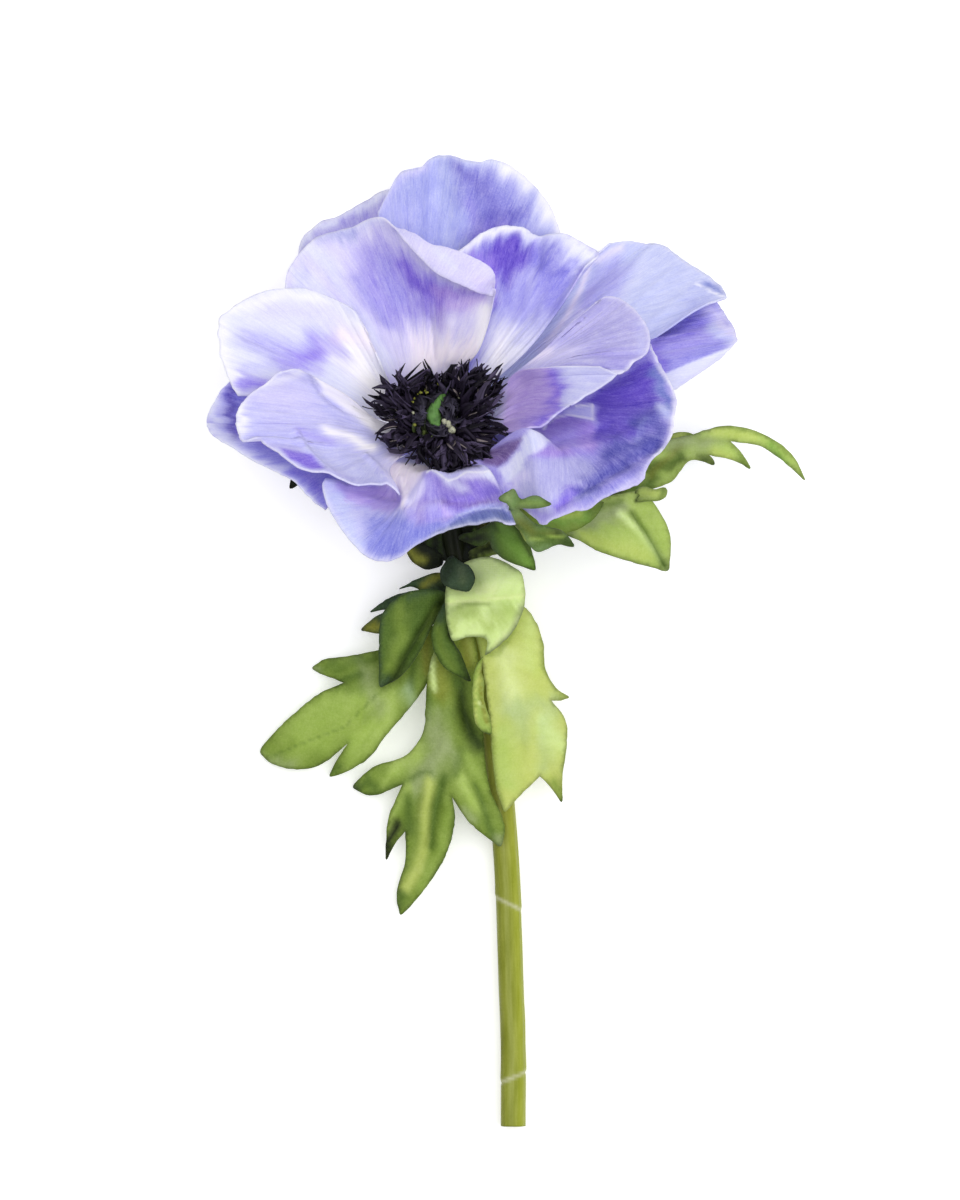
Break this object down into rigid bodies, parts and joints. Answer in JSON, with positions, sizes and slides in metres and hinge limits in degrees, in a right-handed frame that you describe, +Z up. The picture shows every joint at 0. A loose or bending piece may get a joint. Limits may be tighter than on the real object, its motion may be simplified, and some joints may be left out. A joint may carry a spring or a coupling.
{
  "type": "anemone flower",
  "caption": "Cut anemone bloom on a bent stem, laid down: a wide bowl of blue-violet petals round a dark crown of stamens, with lobed green leaves on the neck.",
  "frame": {"origin": "middle of the bounding box in plan, on the surface that the flower lies on", "axes": "+Z up from that surface; +Y along the stem from its cut end to the bloom; +X to the right with the bloom at the far end"},
  "size_m": [0.1026, 0.1672, 0.0536],
  "materials": {
    "stem": "satin olive green, ribbed along its length",
    "pistil": "matt dark green, knobbly",
    "stamens": "matt blue-black fibre with a slight sheen",
    "petal_violet": "matt dyed cloth, violet shading to pale lilac, fine lengthwise streaks",
    "petal_pale": "matt dyed cloth, pale lilac to white at the rim and the base",
    "leaf_light": "matt dyed cloth, yellow-green with darker edges",
    "leaf_dark": "matt dyed cloth, deep green"
  },
  "bodies": {
    "root": {"stem": "stem", "receptacle": "stem", "pistil": "pistil", "stamens_inner": "stamens", "stamens_middle": "stamens", "stamens_outer": "stamens", "petal_top": "petal_violet", "petal_back_left": "petal_pale", "petal_back_right": "petal_pale", "petal_right": "petal_violet", "petal_upper_right": "petal_violet", "petal_upper_left": "petal_violet", "petal_left": "petal_pale", "petal_outer_left": "petal_violet", "petal_lower_left": "petal_pale", "petal_front": "petal_violet", "petal_lower_right": "petal_violet", "petal_inner_right": "petal_pale", "petal_inner_small": "petal_pale", "leaf_left_broad": "leaf_light", "leaf_left_hanging": "leaf_light", "leaf_folded_dark": "leaf_dark", "leaf_left_points": "leaf_dark", "leaf_narrow_dark": "leaf_dark", "leaf_front_pale": "leaf_light", "leaf_right_hanging": "leaf_light", "leaf_right_broad": "leaf_light", "leaf_right_curled": "leaf_light", "leaf_under_bloom": "leaf_dark", "leaf_small_blue": "leaf_dark", "leaf_front_star": "leaf_light", "leaf_left_tip": "leaf_dark", "leaf_brown": "leaf_dark"}
  },
  "joints": []
}
